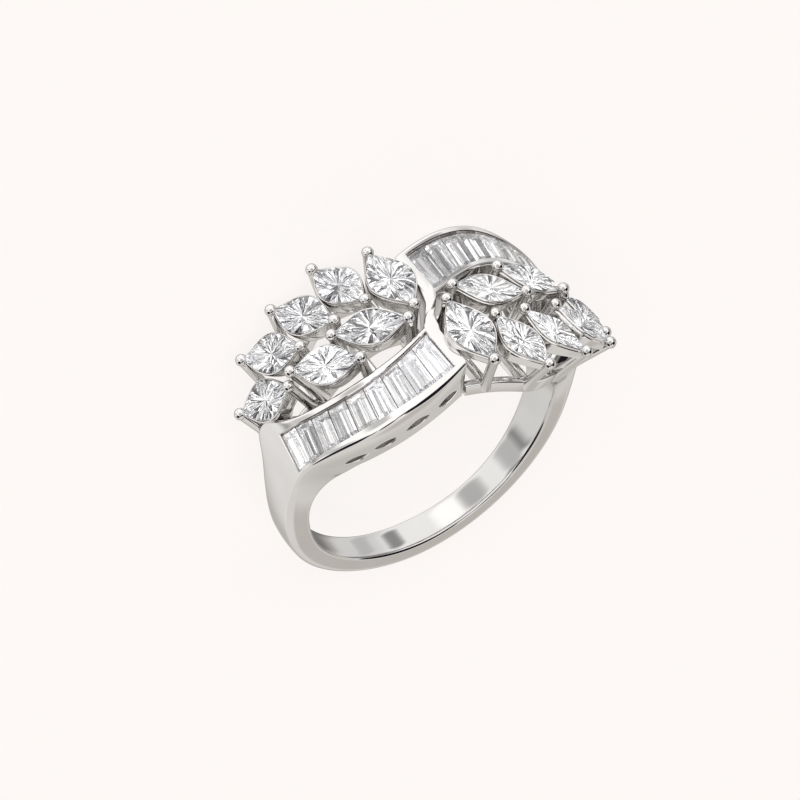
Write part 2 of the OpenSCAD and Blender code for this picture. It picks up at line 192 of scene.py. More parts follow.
def smooth_curve(table, column):
    """A curve of even bend through one column of a table whose first column rises."""
    x, y = table[:, 0].astype(float), table[:, column].astype(float)
    n, h = len(x), np.diff(table[:, 0].astype(float))
    system, right = np.eye(n), np.zeros(n)
    for i in range(1, n - 1):
        system[i, i - 1:i + 2] = h[i - 1], 2 * (h[i - 1] + h[i]), h[i]
        right[i] = 6 * ((y[i + 1] - y[i]) / h[i] - (y[i] - y[i - 1]) / h[i - 1])
    bend = np.linalg.solve(system, right)

    def at(value):
        value = min(max(value, x[0]), x[-1])
        i = min(int(np.searchsorted(x, value, side="right")) - 1, n - 2)
        a, b = x[i + 1] - value, value - x[i]
        return (
            (bend[i] * a ** 3 + bend[i + 1] * b ** 3) / (6 * h[i])
            + (y[i] / h[i] - bend[i] * h[i] / 6) * a
            + (y[i + 1] / h[i] - bend[i + 1] * h[i] / 6) * b
        )
    return at


ribbon_height, ribbon_front, ribbon_front_foot, ribbon_back, ribbon_back_foot = (
    smooth_curve(RIBBON, column) for column in range(1, 6)
)
channel_front, channel_back = (smooth_curve(CHANNEL, column) for column in (1, 2))
outer_rail_along, inner_rail_along = smooth_curve(OUTER_RAIL, 1), smooth_curve(INNER_RAIL, 1)


def mix(a, b, t):
    return a + (b - a) * t


def ease(t):
    t = min(1.0, max(0.0, t))
    return t * t * (3 - 2 * t)


def on_ring(angle, height, along):
    """A point from its angle, its height above the finger hole and its place along the finger."""
    radius = FINGER_R + height
    turn = math.radians(angle)
    return (-radius * math.cos(turn), along, radius * math.sin(turn))


def outward(place):
    """The way out from the finger's axis, of length one, at a place of the upright ring."""
    return Vector((place.x, 0, place.z)).normalized()


def twin(points):
    """The same points after half a turn about Z."""
    return [(-x, -y, z) for x, y, z in points]


# Making objects

def new_object(name, data):
    made = bpy.data.objects.new(name, data)
    bpy.context.scene.collection.objects.link(made)
    return made


def mark_sharp(bm, degrees):
    limit = math.radians(degrees)
    for face in bm.faces:
        face.smooth = True
    for edge in bm.edges:
        edge.smooth = len(edge.link_faces) != 2 or edge.calc_face_angle(0) < limit


def finished_object(name, shape, materials=(), sharp=SHARP, merge=MERGE):
    """Closed shape on the upright ring: laid down, merged, its faces turned outwards."""
    bm = bmesh.new()
    made = [bm.verts.new(laid(point)) for point in shape.points]
    for face in shape.faces:
        bm.faces.new([made[i] for i in face])
    bmesh.ops.remove_doubles(bm, verts=bm.verts, dist=merge * MM)
    bmesh.ops.dissolve_degenerate(bm, edges=bm.edges, dist=merge * MM * 0.5)
    bmesh.ops.recalc_face_normals(bm, faces=bm.faces)
    mark_sharp(bm, sharp)
    mesh = bpy.data.meshes.new(name)
    bm.to_mesh(mesh)
    bm.free()
    for one in materials:
        mesh.materials.append(one)
    return new_object(name, mesh)


class Shape:
    """Points and faces of a shape on the upright ring."""

    def __init__(self):
        self.points, self.faces = [], []

    def band(self, rows):
        """Four-sided faces between closed rows of the same number of points."""
        first, n = len(self.points), len(rows[0])
        for row in rows:
            self.points += row
        for i in range(len(rows) - 1):
            for j in range(n):
                k = (j + 1) % n
                a, b = first + i * n, first + (i + 1) * n
                self.faces.append((a + j, a + k, b + k, b + j))

    def cap(self, ring):
        self.add(ring, [tuple(range(len(ring)))])

    def closed_loft(self, rows):
        self.band(rows)
        self.cap(rows[0])
        self.cap(rows[-1])

    def add(self, points, faces):
        first = len(self.points)
        self.points += points
        self.faces += [tuple(i + first for i in face) for face in faces]

    def add_twin(self):
        self.add(twin(self.points), self.faces)


# The ribbon: shank, shoulder and arm with its channel

# The row of baguettes in degrees: where its front edge starts, how far it reaches, how much
# that grows towards its end, how far its back edge is ahead, and how much of this is lost
ROW_START = 30.7
ROW_REACH = 45
ROW_GROWTH = 9
ROW_LEAN = 3.2
LEAN_LOSS = 3.4


def front_angle(s):
    """Angle of the row's front edge at a share of its length."""
    return ROW_START + ROW_REACH * s + ROW_GROWTH * s * s


def back_angle(s):
    """Angle of the row's back edge at a share of its length."""
    return ROW_START + ROW_LEAN + ROW_REACH * s + (ROW_GROWTH - LEAN_LOSS) * s * s


CHANNEL_START, CHANNEL_END = front_angle(0), front_angle(1)

# Stretches over which the shank turns into the arm, in degrees: where each starts and its length
LEAN_CHANGE = (8, CHANNEL_START - 8)
EDGE_CHANGE = (8, 30)
HOLE_EDGE_CHANGE = (2, 24)
CROWN_CHANGE = (10, 15)


def changed(angle, stretch):
    """How much of a change is done at an angle, from 0 on the shank to 1 on the arm."""
    start, length = stretch
    return ease((angle - start) / length)


def lean(angle):
    """Degrees by which the channel's back edge is ahead of its front edge."""
    if angle < CHANNEL_START:
        return ROW_LEAN * changed(angle, LEAN_CHANGE)
    root = math.sqrt(ROW_REACH ** 2 + 4 * ROW_GROWTH * (angle - ROW_START))
    s = min(1.0, (root - ROW_REACH) / (2 * ROW_GROWTH))
    return (ROW_LEAN - LEAN_LOSS * s) * ease((RIBBON_TOP - angle) / (RIBBON_TOP - CHANNEL_END))


def edge_radius(angle, channel_radius):
    """Rounding of an outer edge: wide on the shank, and a given one beside the channel."""
    return mix(SHANK_EDGE, channel_radius, changed(angle, EDGE_CHANGE))


def hole_edge(angle):
    """Rounding at the finger hole: generous on the shank, small under the arm."""
    return mix(HOLE_EDGE, WALL_FOOT_EDGE, changed(angle, HOLE_EDGE_CHANGE))


def wall_place(angle, height):
    """How far along the finger the front wall stands at a height."""
    return mix(ribbon_front_foot(angle), ribbon_front(angle), height / ribbon_height(angle))


# Points of one section: steps round the finger hole's edge, points up the wall, steps round the
# outer edge, shares of the rims' widths, steps across the outside, points of the well, and steps
# across the finger hole
HOLE_TURNS = 4
WALL_POINTS = 3
EDGE_TURNS = 7
FRONT_RIM_PLACES = (0.35, 0.7)
BACK_RIM_PLACES = (0.3, 0.65)
ACROSS = 14
WELL_POINTS = 8
INSIDE_STEPS = 5
# How many points come before the channel's front edge
SIDE_POINTS = HOLE_TURNS + 2 + WALL_POINTS + EDGE_TURNS + len(FRONT_RIM_PLACES) + 1


def side_columns(angle, top, foot, e, inward):
    """Heights and places from the finger hole up the side wall and round the outer edge."""
    height, low = ribbon_height(angle), hole_edge(angle)

    def at(h):
        return mix(foot, top, h / height)

    columns = []
    for i in range(HOLE_TURNS + 1):
        t = math.pi / 2 * i / HOLE_TURNS
        h = low * (1 - math.cos(t))
        columns.append((h, at(h) + inward * low * (1 - math.sin(t))))
    clear = 1.5 * low
    columns.append((clear, at(clear)))
    for i in range(1, WALL_POINTS + 1):
        h = mix(low, height - e, i / WALL_POINTS)
        columns.append((h, at(h)))
    start = at(height - e)
    for i in range(1, EDGE_TURNS + 1):
        t = math.pi / 2 * i / EDGE_TURNS
        across = mix(start, top + inward * e, 1 - math.cos(t))
        columns.append((height - e + e * math.sin(t), across))
    return columns


# How far the arm's outer edges are behind and ahead of the section, as shares of the lean
FRONT_SKEW, BACK_SKEW = 0.22, 1.2
# Shares of the rims' widths that their rounding takes, and the most that it takes anywhere
FRONT_RIM_SHARE, BACK_RIM_SHARE, MOST_SHARE = 0.6, 0.45, 0.9
# How much further in the well's floor starts than its mouth, at the front and at the back
FRONT_FLOOR_INSET, BACK_FLOOR_INSET = 0.25, 0.1


def ribbon_row(angle, sunk=0.0, trough=False):
    """One closed section of the ribbon, slanted as the channel's dividers are."""
    skew = lean(angle)
    far = angle + skew
    fa, ba = angle - FRONT_SKEW * skew, angle + BACK_SKEW * skew
    front, back = channel_front(angle), channel_back(far)
    front_rim, back_rim = front - ribbon_front(fa), ribbon_back(ba) - back
    front_e = edge_radius(fa, min(RIM_EDGE, FRONT_RIM_SHARE * front_rim))
    front_e = min(front_e, MOST_SHARE * (front_rim - BEVEL))
    back_e = edge_radius(ba, min(BACK_RIM_EDGE, BACK_RIM_SHARE * back_rim))
    back_e = min(back_e, MOST_SHARE * (back_rim - BEVEL))
    near_side = side_columns(fa, ribbon_front(fa), ribbon_front_foot(fa), front_e, 1)
    far_side = side_columns(ba, ribbon_back(ba), ribbon_back_foot(ba), back_e, -1)
    edge, back_edge = ribbon_front(fa) + front_e, ribbon_back(ba) - back_e
    crown = SHANK_CROWN * (1 - changed(angle, CROWN_CHANGE))

    def outside(place, y, lowered=0.0):
        """A point of the outside with its slight dome."""
        u = (y - edge) / (back_edge - edge) * 2 - 1
        return on_ring(place, ribbon_height(place) + crown * max(0.0, 1 - u * u) - lowered, y)

    row = [on_ring(fa, h, y) for h, y in near_side]
    row += [outside(mix(fa, angle, t), mix(edge, front - BEVEL, t)) for t in FRONT_RIM_PLACES]
    row.append(outside(angle, front - BEVEL))
    if trough:
        near_rim, far_rim = ribbon_height(angle), ribbon_height(far)
        row += [
            on_ring(angle, near_rim - BEVEL, front),
            on_ring(angle, near_rim - SEAT_DROP, front),
            on_ring(angle, near_rim - SEAT_DROP, front + WELL_INSET),
            on_ring(angle, FLOOR_H, front + WELL_INSET + FRONT_FLOOR_INSET),
            on_ring(far, FLOOR_H, back - WELL_INSET - BACK_FLOOR_INSET),
            on_ring(far, far_rim - SEAT_DROP, back - WELL_INSET),
            on_ring(far, far_rim - SEAT_DROP, back),
            on_ring(far, far_rim - BEVEL, back),
        ]
    else:
        shares = [i / ACROSS for i in range(ACROSS + 1)]
        row += [outside(angle + skew * t, mix(front, back, t), sunk) for t in shares]
    row.append(outside(far, back + BEVEL))
    row += [outside(mix(far, ba, t), mix(back + BEVEL, back_edge, t)) for t in BACK_RIM_PLACES]
    row += [on_ring(ba, h, y) for h, y in reversed(far_side)]
    start, end = far_side[0][1], ribbon_front_foot(fa) + hole_edge(fa)
    for i in range(1, INSIDE_STEPS):
        t = i / INSIDE_STEPS
        row.append(on_ring(mix(ba, fa, t), 0.0, mix(start, end, t)))
    return row


# Degrees between the shank's sections, from an end of the channel to the nearest plain section,
# and from the arm's end back to its last ones; and the number of steps along the channel
SHANK_STEP = 1.2
CHANNEL_GAP = 0.25
TIP_STEPS = (2, 1, 0)
CHANNEL_STEPS = 72
# Where a well can be: millimetres in from the arm's sides, shares of its height, and degrees past
# the channel's end
WELL_MARGIN = 0.15
WELL_LOW, WELL_HIGH = 0.3, 0.9
WELL_PAST_END = 1


def make_band(*materials):
    """The ribbon with its channel, and its wells in the second of the finishes."""
    shape = Shape()
    plain = list(np.arange(SHANK_BOTTOM, CHANNEL_START - 2 * CHANNEL_GAP, SHANK_STEP))
    shoulder = [ribbon_row(a) for a in plain + [CHANNEL_START - CHANNEL_GAP]]
    shoulder.append(ribbon_row(CHANNEL_START, sunk=BEVEL))
    shares = [i / CHANNEL_STEPS for i in range(CHANNEL_STEPS + 1)]
    channel = [ribbon_row(front_angle(s), trough=True) for s in shares]
    ends = [CHANNEL_END + CHANNEL_GAP] + [RIBBON_TOP - step for step in TIP_STEPS]
    tail = [ribbon_row(CHANNEL_END, sunk=BEVEL)] + [ribbon_row(a) for a in ends]
    for rows in (shoulder, channel, tail):
        shape.band(rows)
    for whole, opened in ((shoulder[-1], channel[0]), (tail[0], channel[-1])):
        across = whole[SIDE_POINTS:SIDE_POINTS + ACROSS + 1]
        well = opened[SIDE_POINTS:SIDE_POINTS + WELL_POINTS]
        shape.cap(across + well[-2:0:-1])
    shape.cap(tail[-1])
    shape.add_twin()
    made = finished_object("band", shape, materials)
    for face in made.data.polygons:
        if in_well(UPRIGHT @ face.center / MM):
            face.material_index = 1
    return made


def in_well(place):
    """Whether a face's middle, on the upright ring, is inside one of the two channels' wells."""
    if place.z < 0:
        return False
    if place.x > 0:
        place.x, place.y = -place.x, -place.y
    angle = math.degrees(math.atan2(place.z, -place.x))
    height = math.hypot(place.x, place.z) - FINGER_R
    share = height / ribbon_height(angle)
    front = wall_place(angle, height) + WELL_MARGIN
    back = mix(ribbon_back_foot(angle), ribbon_back(angle), share) - WELL_MARGIN
    in_channel = CHANNEL_START < angle < CHANNEL_END + WELL_PAST_END
    return in_channel and WELL_LOW < share < WELL_HIGH and front < place.y < back


# The neck bars' section: shares of its half width at the finger hole and at a height above it,
# the height of its upright walls, the most of its half width that its rounding takes, and steps
NECK_FOOT = 0.72
NECK_ANKLE, NECK_ANKLE_H = 0.8, 0.8
NECK_WALL_H = 1.2
NECK_EDGE_SHARE = 0.4
NECK_TURNS = 6
NECK_STEPS = 40


def make_neck(material):
    """The bars from the arms' ends, which pass each other in the middle of the head."""
    table = np.column_stack([np.arange(len(END_BAR)), END_BAR])
    columns = [smooth_curve(table, column) for column in range(1, table.shape[1])]
    rows = []
    for i in range(NECK_STEPS + 1):
        reach = (len(END_BAR) - 1) * i / NECK_STEPS
        x, y, heading, width, height = (column(reach) for column in columns)
        side = (-math.sin(math.radians(heading)), math.cos(math.radians(heading)))
        half, top = width / 2, FINGER_R + height
        e = min(NECK_EDGE, half * NECK_EDGE_SHARE)
        spots = [
            (-half * NECK_FOOT, None),
            (-half * NECK_ANKLE, FINGER_R + NECK_ANKLE_H),
            (-half, top - NECK_WALL_H),
            (-half, top - e),
        ]
        for k in range(1, NECK_TURNS + 1):
            t = math.pi / 2 * k / NECK_TURNS
            spots.append((-half + e * (1 - math.cos(t)), top - e + e * math.sin(t)))
        spots += [(-across, z) for across, z in reversed(spots)]
        row = []
        for across, z in spots:
            px, py = x + side[0] * across, y + side[1] * across
            row.append((px, py, math.sqrt(FINGER_R ** 2 - px * px) if z is None else z))
        rows.append(row)
    shape = Shape()
    shape.closed_loft(rows)
    shape.add_twin()
    return finished_object("neck_bars", shape, [material])


# Gallery of rails and bars under the sprays

# How far the cross bars stay above the finger hole and below the rails' outside, how far they
# reach into the arm, the steps round a corner, and the sections of a rail and of a bar
BAR_LOW, BAR_SUNK = 0.04, 0.06
BAR_ROOT = 0.4
CORNER_TURNS = 4
RAIL_SECTIONS = 60
BAR_SECTIONS = 4


def rail_section(low, high):
    """Upright section with rounded corners, as places across and heights."""
    left, right = RAIL_EDGE - RAIL_W / 2, RAIL_W / 2 - RAIL_EDGE
    bottom, top = low + RAIL_EDGE, high - RAIL_EDGE
    spots = []
    for x, z, start in ((right, top, 0), (left, top, 90), (left, bottom, 180), (right, bottom, 270)):
        for k in range(CORNER_TURNS + 1):
            t = math.radians(start + 90 / CORNER_TURNS * k)
            spots.append((x + RAIL_EDGE * math.cos(t), z + RAIL_EDGE * math.sin(t)))
    return spots


def make_gallery(material):
    """Two rails along the finger hole and the bars from the arm across them, on both sides."""
    shape = Shape()
    section = rail_section(0.0, RAIL_H)
    for rail, along in ((OUTER_RAIL, outer_rail_along), (INNER_RAIL, inner_rail_along)):
        rows = []
        for angle in np.linspace(rail[0, 0], rail[-1, 0], RAIL_SECTIONS):
            rows.append([on_ring(angle, h, along(angle) + across) for across, h in section])
        shape.closed_loft(rows)
    section = rail_section(BAR_LOW, RAIL_H - BAR_SUNK)
    for angle in CROSS_BARS:
        start, end = ribbon_back_foot(angle) - BAR_ROOT, outer_rail_along(angle)
        turned = [(angle + math.degrees(across / (FINGER_R + h)), h) for across, h in section]
        rows = []
        for t in np.linspace(0, 1, BAR_SECTIONS):
            rows.append([on_ring(place, h, mix(start, end, t)) for place, h in turned])
        shape.closed_loft(rows)
    shape.add_twin()
    return finished_object("gallery", shape, [material])


# Marquise collets

def stone_axes(outer, inner):
    """Middle, length and own directions of a marquise, from its tips."""
    a, b = Vector(on_ring(*outer)), Vector(on_ring(*inner))
    middle = (a + b) / 2
    x = (b - a).normalized()
    y = Vector((middle.x, 0, middle.z)).cross(x).normalized()
    return middle, (b - a).length, x, y, x.cross(y)


OUTLINE_POINTS = 48
DRAWN_IN = 0.34


def marquise_ring(length, width, points=OUTLINE_POINTS, drawn_in=DRAWN_IN):
    """A full outline that is drawn in a little towards its two points."""
    ring = []
    for i in range(points):
        t = 2 * math.pi * i / points
        fullness = math.sin(t) ** 2
        y = width / 2 * mix(fullness, fullness ** 2, drawn_in)
        ring.append((length / 2 * math.cos(t), y if math.sin(t) > 0 else -y))
    return ring


COLLET_PROFILE = [
    # offset from the stone's outline, height above the top of its girdle
    (0.02, -0.06), (0.03, -0.015), (0.05, 0.0), (0.075, 0.0), (0.1, -0.03),
    (0.105, -0.10), (0.09, -0.125), (0.06, -0.15), (0.06, -0.175), (0.1, -0.21), (0.11, -0.24),
    (0.08, -0.60), (0.02, -1.00), (-0.03, -1.30), (-0.06, -1.35), (-0.10, -1.37),
    (-0.18, -1.37), (-0.21, -1.35), (-0.22, -1.30), (-0.2, -0.55), (-0.05, -0.14),
]
# What an outline's length gains for each millimetre outwards, and loses for each one inwards
STRETCH_OUT, STRETCH_IN = 2.4, 3.2
# Below this height a wall is shallower, down to this share under the outer tip
LIP_FOOT = -0.3
OUTER_WALL = 0.55
COLLET_SHARP = 40


def make_collets(material):
    """A collet for each marquise: a lip, a groove and a wall that narrows downwards."""
    shape = Shape()
    for outer, inner, width in SPRAY:
        middle, length, x, y, z = stone_axes(outer, inner)
        rows = []
        for offset, height in COLLET_PROFILE:
            stretch = STRETCH_OUT if offset > 0 else STRETCH_IN
            row = []
            for px, py in marquise_ring(length + stretch * offset, width + 2 * offset):
                depth = mix(OUTER_WALL, 1.0, ease(px / length + 0.5)) if height < LIP_FOOT else 1.0
                row.append(tuple(middle + x * px + y * py + z * height * depth))
            rows.append(row)
        shape.band(rows + rows[:1])
    shape.add_twin()
    return finished_object("collets", shape, [material], sharp=COLLET_SHARP)


# Trees of nodes

class Wire:
    """One socket of a tree of nodes; a sum written with it adds the maths nodes."""

    def __init__(self, nodes, socket):
        self.nodes, self.socket = nodes, socket

    def sum(self, operation, a, b):
        return self.nodes.add("ShaderNodeMath", {"operation": operation}, {0: a, 1: b})

    def __add__(self, other):
        return self.sum("ADD", self, other)

    def __radd__(self, other):
        return self.sum("ADD", other, self)

    def __sub__(self, other):
        return self.sum("SUBTRACT", self, other)

    def __rsub__(self, other):
        return self.sum("SUBTRACT", other, self)

    def __mul__(self, other):
        return self.sum("MULTIPLY", self, other)

    def __rmul__(self, other):
        return self.sum("MULTIPLY", other, self)

    def __pow__(self, other):
        return self.sum("POWER", self, other)


class Nodes:
    """Writes nodes into one tree, of a material, of the studio or of a geometry modifier."""

    def __init__(self, tree):
        self.tree = tree

    def add(self, kind, settings=None, sockets=None, output=0):
        """A node from its type, its settings, and the values or links of its sockets."""
        made = self.tree.nodes.new(kind)
        for key, value in (settings or {}).items():
            setattr(made, key, value)
        for key, value in (sockets or {}).items():
            self.put(made.inputs[key], value)
        return Wire(self, made.outputs[output])

    def put(self, socket, value):
        for one in value if isinstance(value, list) else [value]:
            if isinstance(one, Wire):
                self.tree.links.new(one.socket, socket)
            else:
                socket.default_value = one

    def blend(self, share, a, b):
        """One colour over another by a share from 0 to 1."""
        return self.add("ShaderNodeMix", {"data_type": "RGBA"}, {0: share, 6: a, 7: b}, output=2)

    def ramp(self, value, low, high):
        """A share that eases from 0 at the low value to 1 at the high one."""
        sockets = {"Value": value, "From Min": low, "From Max": high}
        return self.add("ShaderNodeMapRange", {"interpolation_type": "SMOOTHSTEP"}, sockets)

    def place(self):
        """The place on the piece itself, in metres."""
        return self.add("ShaderNodeTexCoord", output="Object")

    def noise(self, place, scale, detail=2.0):
        """A cloud whose spots are about 1 / scale across."""
        return self.add("ShaderNodeTexNoise", None, {"Vector": place, "Scale": scale, "Detail": detail})

    def vector(self, operation, a, b=(0, 0, 0), output="Value"):
        return self.add("ShaderNodeVectorMath", {"operation": operation}, {0: a, 1: b}, output)

    def bump(self, height, strength, distance):
        """Normals bent by a height that is worth this distance, in metres."""
        sockets = {"Height": height, "Strength": strength, "Distance": distance}
        return self.add("ShaderNodeBump", None, sockets)


class Builder(Nodes):
    """A geometry tree with named sizes, made plain mesh when it has run."""

    def __init__(self, name, sizes):
        super().__init__(bpy.data.node_groups.new(name, "GeometryNodeTree"))
        side = self.tree.interface
        side.new_socket("Geometry", in_out="OUTPUT", socket_type="NodeSocketGeometry")
        side.new_socket("Geometry", in_out="INPUT", socket_type="NodeSocketGeometry")
        self.values = {}
        for label, value in sizes.items():
            kind = "NodeSocketInt" if isinstance(value, int) else "NodeSocketFloat"
            self.values[side.new_socket(label, in_out="INPUT", socket_type=kind).identifier] = value
        self.start = self.tree.nodes.new("NodeGroupInput")

    def size(self, label):
        return Wire(self, self.start.outputs[label])

    def run(self, name, guide, geometry, material):
        """Give the tree to a guide object and keep what it makes as a plain mesh."""
        real = self.add("GeometryNodeRealizeInstances", None, {"Geometry": geometry})
        painted = self.add("GeometryNodeSetMaterial", None, {"Geometry": real, "Material": material})
        out = self.tree.nodes.new("NodeGroupOutput")
        self.put(out.inputs[0], painted)
        modifier = guide.modifiers.new(name, "NODES")
        modifier.node_group = self.tree
        for identifier, value in self.values.items():
            modifier[identifier] = value
        bpy.context.view_layer.update()
        seen = guide.evaluated_get(bpy.context.evaluated_depsgraph_get())
        mesh = bpy.data.meshes.new_from_object(seen)
        mesh.name = name
        guide.modifiers.remove(modifier)
        bpy.data.objects.remove(guide)
        return new_object(name, mesh)


def guide_lines(name, lines):
    """Wire of separate lines, each a list of points of the upright ring."""
    points, edges = [], []
    for line in lines:
        edges += [(len(points) + i, len(points) + i + 1) for i in range(len(line) - 1)]
        points += [laid(point) for point in line]
    mesh = bpy.data.meshes.new(name)
    mesh.from_pydata(points, edges, [])
    return new_object(name, mesh)


# The posts and beads: how much a post is wider at its foot and how fast that ends, its rings,
# the sides of a post, and the sides and rings of a bead
FLARE = 0.35
FLARE_POWER = 6
POST_RINGS = 16
POST_SIDES = 20
BEAD_SIDES = 28
BEAD_RINGS = 18


def make_claws(material):
    """A round post from the gallery to each tip of a marquise, with a bead on the tip."""
    lines = []
    for (outer, inner, _), feet in zip(SPRAY, CLAW_FEET):
        x = stone_axes(outer, inner)[2]
        for tip, foot, way in ((outer, feet[0], -1), (inner, feet[1], 1)):
            head = Vector(on_ring(*tip)) + x * CLAW_OUT * way
            lines.append([on_ring(*foot), tuple(head)])
    lines += [twin(line) for line in lines]
    tree = Builder("claws", {
        "Post radius": CLAW_D / 2 * MM,
        "Bead radius": CLAW_HEAD_D / 2 * MM,
        "Flare": FLARE,
        "Rings": POST_RINGS,
    })
    curve = tree.add("GeometryNodeMeshToCurve", None, {"Mesh": tree.size("Geometry")})
    curve = tree.add("GeometryNodeResampleCurve", None, {"Curve": curve, "Count": tree.size("Rings")})
    along = tree.add("GeometryNodeSplineParameter")
    swell = 1 + tree.size("Flare") * (1 - along) ** FLARE_POWER
    sizes = {"Resolution": POST_SIDES, "Radius": tree.size("Post radius")}
    ring = tree.add("GeometryNodeCurvePrimitiveCircle", None, sizes)
    sizes = {"Curve": curve, "Profile Curve": ring, "Scale": swell, "Fill Caps": True}
    posts = tree.add("GeometryNodeCurveToMesh", None, sizes)
    last = tree.add("GeometryNodeCurveEndpointSelection", None, {"Start Size": 0, "End Size": 1})
    sizes = {"Segments": BEAD_SIDES, "Rings": BEAD_RINGS, "Radius": tree.size("Bead radius")}
    bead = tree.add("GeometryNodeMeshUVSphere", None, sizes)
    sizes = {"Points": curve, "Selection": last, "Instance": bead}
    beads = tree.add("GeometryNodeInstanceOnPoints", None, sizes)
    joined = tree.add("GeometryNodeJoinGeometry", None, {"Geometry": [posts, beads]})
    smooth = tree.add("GeometryNodeSetShadeSmooth", None, {"Geometry": joined})
    return tree.run("claws", guide_lines("claw_lines", lines), smooth, material)


# Stones

# A marquise's sizes as shares of its outline, and its heights as shares of its width
BRILLIANT_POINTS = 36
MARQUISE_TABLE = 0.56
MARQUISE_STAR = 0.77
MARQUISE_MIDDLE = 0.5
MARQUISE_MAIN = 0.24
MARQUISE_CROWN = 0.15
MARQUISE_PAVILION = 0.24
# Heights of the rings between, as shares of the crown and of the pavilion
STAR_H = 0.6
MIDDLE_DEPTH, MAIN_DEPTH = 0.53, 0.78
# How uneven the lower rings, the lowest point and the shards' middles are
MIDDLE_UNEVEN, MAIN_UNEVEN = 0.16, 0.3
CULET_UNEVEN = 0.03
SHARD_DEPTH = 0.05
SHARD_EVENNESS = (5, 5, 5)
BRILLIANT_SEED = 5

# The channel's stones: how far their tables are below the rims, and the room round each
TABLE_DROP = 0.02
CROWN_H = 0.22
SEAT_GAP = 0.03
BAGUETTE_STEPS = [
    # height above the girdle, inset of the ends, inset of the long sides
    (CROWN_H, 0.19, 0.15),
    (CROWN_H * 0.6, 0.1, 0.08),
    (0.0, 0.0, 0.0),
    (-0.05, 0.0, 0.0),
    (-0.25, 0.12, 0.17),
    (-0.43, 0.26, 0.36),
    (-0.56, 0.42, 0.54),
]


def marquise_points(length, width, chance):
    """Points and facets of a marquise brilliant, its lower facets parted into uneven shards."""
    outline = marquise_ring(length, width, BRILLIANT_POINTS)
    crown, depth = MARQUISE_CROWN * width, MARQUISE_PAVILION * width
    points, faces = [], []

    def ring(places, share, z, uneven=0.0):
        first = len(points)
        for i in places:
            own = share * (1 + uneven * chance.uniform(-1, 1))
            points.append((outline[i][0] * own, outline[i][1] * own, z))
        return [first + k for k in range(len(places))]

    def shards(triangle):
        """Three facets round an uneven point of a triangle."""
        heart, shares = len(points), chance.dirichlet(SHARD_EVENNESS)
        spot = [sum(points[i][axis] * part for i, part in zip(triangle, shares)) for axis in range(3)]
        spot[2] += depth * chance.uniform(-SHARD_DEPTH, SHARD_DEPTH)
        points.append(tuple(spot))
        return [(triangle[i - 1], triangle[i], heart) for i in range(3)]

    even, odd = range(0, BRILLIANT_POINTS, 2), range(1, BRILLIANT_POINTS, 2)
    table = ring(even, MARQUISE_TABLE, crown)
    star = ring(odd, MARQUISE_STAR, crown * STAR_H)
    upper = ring(range(BRILLIANT_POINTS), 1, 0)
    lower = ring(range(BRILLIANT_POINTS), 1, -GIRDLE_H)
    main = ring(odd, MARQUISE_MAIN, -GIRDLE_H - depth * MAIN_DEPTH, MAIN_UNEVEN)
    middle = ring(even, MARQUISE_MIDDLE, -GIRDLE_H - depth * MIDDLE_DEPTH, MIDDLE_UNEVEN)
    culet = len(points)
    drift = length * chance.uniform(-CULET_UNEVEN, CULET_UNEVEN)
    points.append((drift, 0.0, -GIRDLE_H - depth))
    faces.append(tuple(table))
    sides = BRILLIANT_POINTS // 2
    for k in range(sides):
        after = (k + 1) % sides
        a, b, c = 2 * k, 2 * k + 1, (2 * k + 2) % BRILLIANT_POINTS
        faces += [
            (table[k], star[k], table[after]),
            (table[k], upper[a], star[k]),
            (table[after], star[k], upper[c]),
            (star[k], upper[a], upper[b]),
            (star[k], upper[b], upper[c]),
        ]
        faces += shards((lower[a], main[k], lower[b]))
        faces += shards((lower[b], main[k], lower[c]))
        faces += shards((lower[a], middle[k], main[k]))
        faces += shards((lower[a], main[k - 1], middle[k]))
        for i, j in ((a, b), (b, c)):
            faces.append((upper[i], lower[i], lower[j], upper[j]))
        faces += [(culet, middle[k], main[k]), (culet, main[k - 1], middle[k])]
    return points, faces


def channel_corner(s, side):
    """Where a divider meets the front (0) or back (1) edge of the row, at the girdles' height."""
    angle = (front_angle, back_angle)[side](s)
    along = (channel_front, channel_back)[side](angle)
    return Vector(on_ring(angle, ribbon_height(angle) - (TABLE_DROP + CROWN_H), along))


def baguette_points(k):
    """Points and facets of a step-cut tapered baguette between two of the channel's dividers."""
    first, last = k / BAGUETTES, (k + 1) / BAGUETTES
    a, b, c, d = (channel_corner(*corner) for corner in ((first, 0), (last, 0), (last, 1), (first, 1)))
    middle = (a + b + c + d) / 4
    up = (c - a).cross(d - b).normalized()
    if up.dot(outward(middle)) < 0:
        up = -up
    x = ((b + c - a - d) / 2).normalized()
    y = up.cross(x).normalized()
    x = y.cross(up)
    flat = [Vector(((p - middle).dot(x), (p - middle).dot(y))) for p in (a, b, c, d)]
    front, back = (flat[1] - flat[0]).normalized(), (flat[2] - flat[3]).normalized()
    near, far = (flat[3] - flat[0]).normalized(), (flat[2] - flat[1]).normalized()
    points, rings = [], []
    for height, ends, sides in BAGUETTE_STEPS:
        ends, sides = ends + SEAT_GAP, sides + SEAT_GAP
        ring = [
            flat[0] + front * sides + near * ends,
            flat[1] - front * sides + far * ends,
            flat[2] - back * sides - far * ends,
            flat[3] + back * sides - near * ends,
        ]
        rings.append([len(points) + i for i in range(4)])
        points += [tuple(middle + x * q.x + y * q.y + up * height) for q in ring]
    faces = [tuple(rings[0]), tuple(reversed(rings[-1]))]
    for high, low in zip(rings, rings[1:]):
        for i in range(4):
            j = (i + 1) % 4
            faces.append((high[i], low[i], low[j], high[j]))
    return points, faces


# Limits for sharp edges and for merging, as facets are small and turn little
FACET_SHARP = 0.2
FACET_MERGE = 0.00005
# Facets that face outwards by less than this are lower ones
LOWER_LIMIT = 0.1
